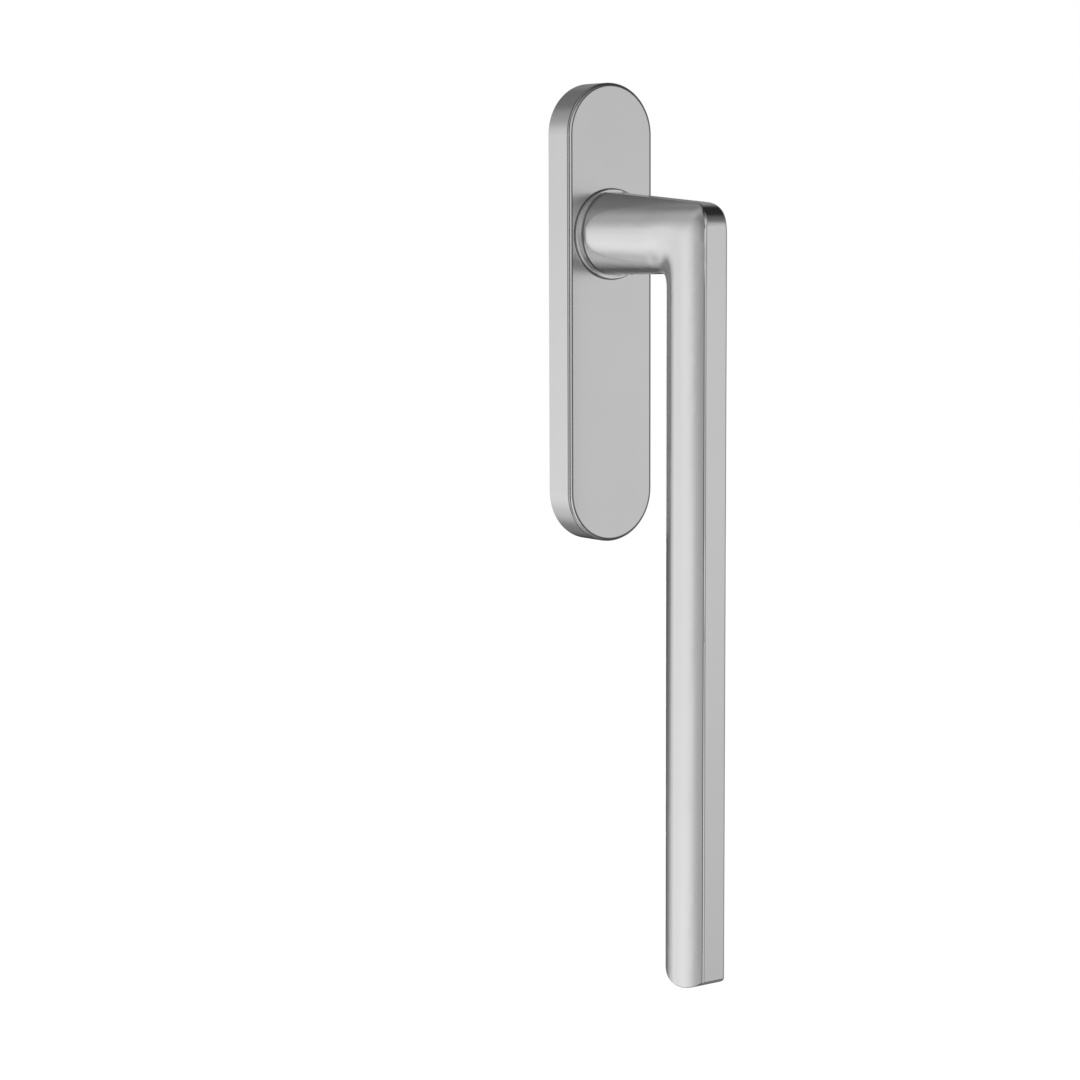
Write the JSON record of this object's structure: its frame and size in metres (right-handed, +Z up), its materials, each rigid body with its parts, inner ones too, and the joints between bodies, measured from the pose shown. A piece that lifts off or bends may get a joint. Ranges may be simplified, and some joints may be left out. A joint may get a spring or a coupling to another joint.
{
  "type": "lift and slide door handle",
  "caption": "Long lever handle hanging from a thick stadium backplate, its flat-fronted oval grip turned by half a turn to lift and free a sliding door.",
  "frame": {"origin": "on the spindle axis, in the plane of the door face behind the backplate", "axes": "+Z up along the backplate with the lever hanging down, +Y into the door, the user stands at -Y, +X to the user's right"},
  "size_m": [0.036, 0.0915, 0.3112],
  "materials": {
    "satin_metal": "satin, very finely brushed",
    "steel": "zinc plated",
    "cast_metal": "raw die casting",
    "black_plastic": "moulded"
  },
  "bodies": {
    "backplate": {"cover_plate": "satin_metal", "collar_ring": "satin_metal", "disc_spring": "steel", "leaf_spring_left": "steel", "leaf_spring_right": "steel", "mechanism_lid": "steel", "lid_screw_1": "steel", "lid_screw_2": "steel", "lid_screw_3": "steel", "lid_screw_4": "steel", "fixing_screw_upper": "steel", "fixing_screw_lower": "steel", "cover_clip_upper": "steel", "cover_clip_lower": "steel", "base_plate": "cast_metal", "bearing_bush": "black_plastic", "thrust_washer": "black_plastic"},
    "lever": {"lever": "satin_metal", "spindle": "steel", "grub_screw": "steel", "index_disc": "steel", "retaining_ring": "steel"}
  },
  "joints": [
    {"name": "lever_turn", "type": "hinge", "parent": "backplate", "child": "lever", "pos_m": [0, 0, 0], "axis": [0, 1, 0], "range_deg": [0, 180], "deforming": ["leaf_spring_left", "leaf_spring_right"]}
  ]
}
